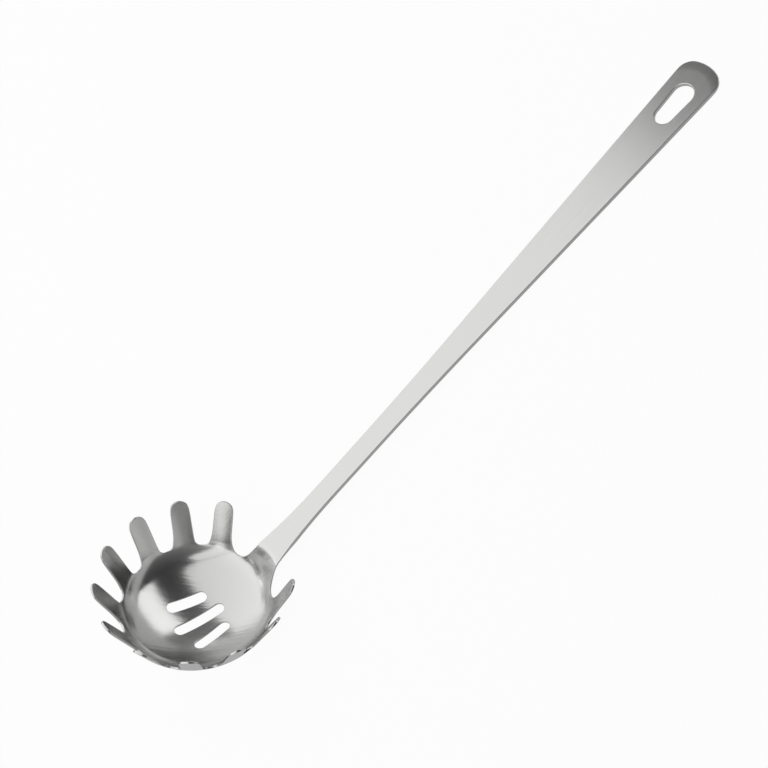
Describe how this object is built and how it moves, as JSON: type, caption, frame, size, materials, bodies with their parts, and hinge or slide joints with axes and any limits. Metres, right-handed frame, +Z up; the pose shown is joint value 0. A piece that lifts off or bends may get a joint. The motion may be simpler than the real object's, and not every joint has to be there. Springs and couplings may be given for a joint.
{
  "type": "pasta server",
  "caption": "Brushed steel pasta server: a pressed bowl with round-ended teeth and drain slots, welded to a flat, tapering bar handle with a hang hole.",
  "frame": {"origin": "centre of the bounding box, on the table that the tool rests on", "axes": "+X from the bowl towards the end of the handle, +Z up as the tool lies on a table on the side of its bowl and the end of its handle, XZ is its mirror plane"},
  "size_m": [0.3426, 0.0854, 0.0617],
  "materials": {
    "bowl_steel": "brushed, softly glossy",
    "handle_steel": "brushed along its length"
  },
  "bodies": {
    "root": {"bowl": "bowl_steel", "handle": "handle_steel"}
  },
  "joints": []
}
